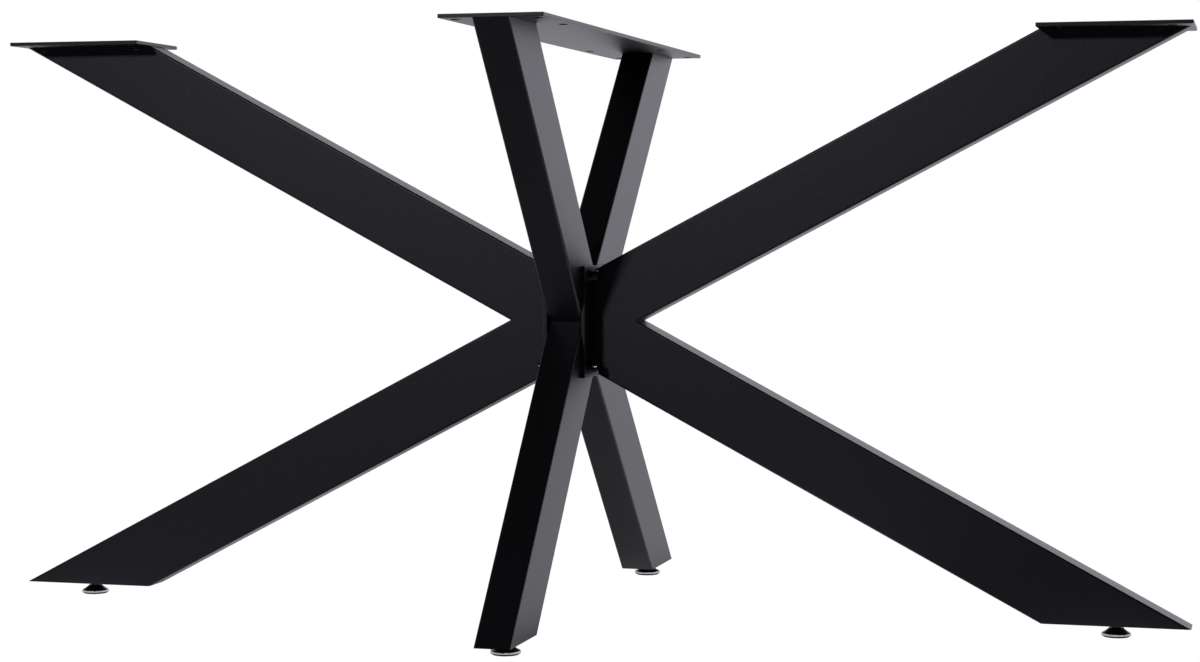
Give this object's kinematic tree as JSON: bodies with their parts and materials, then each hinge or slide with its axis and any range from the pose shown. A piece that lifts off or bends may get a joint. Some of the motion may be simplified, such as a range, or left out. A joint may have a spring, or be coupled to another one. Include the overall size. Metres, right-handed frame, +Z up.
{
  "type": "crossed table base",
  "caption": "Crossed table base of rectangular black steel tube, with a long centre plate and side plates for a table top, on screw-in levelling feet.",
  "frame": {"origin": "on the floor, under the middle of the footprint", "axes": "+X along the table to the right, +Y to the rear, +Z up"},
  "size_m": [1.488, 0.769, 0.716],
  "materials": {
    "powder_coat": "matt fine-textured powder coat",
    "black_steel": "glossy black zinc plating",
    "plain_steel": "plain zinc plating",
    "foot_plastic": "moulded, slightly glossy",
    "foot_chrome": "bright nickel plating",
    "foot_pad": "matt"
  },
  "bodies": {
    "frame": {"front_upper_tube": "powder_coat", "front_lower_tube": "powder_coat", "rear_upper_tube": "powder_coat", "rear_lower_tube": "powder_coat", "left_upper_arm": "powder_coat", "left_lower_arm": "powder_coat", "right_upper_arm": "powder_coat", "right_lower_arm": "powder_coat", "centre_top_plate": "powder_coat", "left_top_plate": "powder_coat", "right_top_plate": "powder_coat", "left_flange_plate": "powder_coat", "right_flange_plate": "powder_coat", "left_flange_bolts": "black_steel", "left_spring_washers": "black_steel", "left_flange_washers": "black_steel", "left_flange_nuts": "plain_steel", "right_flange_bolts": "black_steel", "right_spring_washers": "black_steel", "right_flange_washers": "black_steel", "right_flange_nuts": "plain_steel", "front_end_plate": "powder_coat", "front_stud_nut": "plain_steel", "rear_end_plate": "powder_coat", "rear_stud_nut": "plain_steel", "left_end_plate": "powder_coat", "left_stud_nut": "plain_steel", "right_end_plate": "powder_coat", "right_stud_nut": "plain_steel"},
    "front_foot": {"front_foot_stud": "black_steel", "front_foot_cone": "foot_plastic", "front_foot_rim": "foot_chrome", "front_foot_pad": "foot_pad"},
    "rear_foot": {"rear_foot_stud": "black_steel", "rear_foot_cone": "foot_plastic", "rear_foot_rim": "foot_chrome", "rear_foot_pad": "foot_pad"},
    "left_foot": {"left_foot_stud": "black_steel", "left_foot_cone": "foot_plastic", "left_foot_rim": "foot_chrome", "left_foot_pad": "foot_pad"},
    "right_foot": {"right_foot_stud": "black_steel", "right_foot_cone": "foot_plastic", "right_foot_rim": "foot_chrome", "right_foot_pad": "foot_pad"}
  },
  "joints": [
    {"name": "front_foot_screw", "type": "slide", "parent": "frame", "child": "front_foot", "axis": [0, 0, -1], "range_m": [0, 0.012]},
    {"name": "rear_foot_screw", "type": "slide", "parent": "frame", "child": "rear_foot", "axis": [0, 0, -1], "range_m": [0, 0.012]},
    {"name": "left_foot_screw", "type": "slide", "parent": "frame", "child": "left_foot", "axis": [0, 0, -1], "range_m": [0, 0.012]},
    {"name": "right_foot_screw", "type": "slide", "parent": "frame", "child": "right_foot", "axis": [0, 0, -1], "range_m": [0, 0.012]}
  ]
}
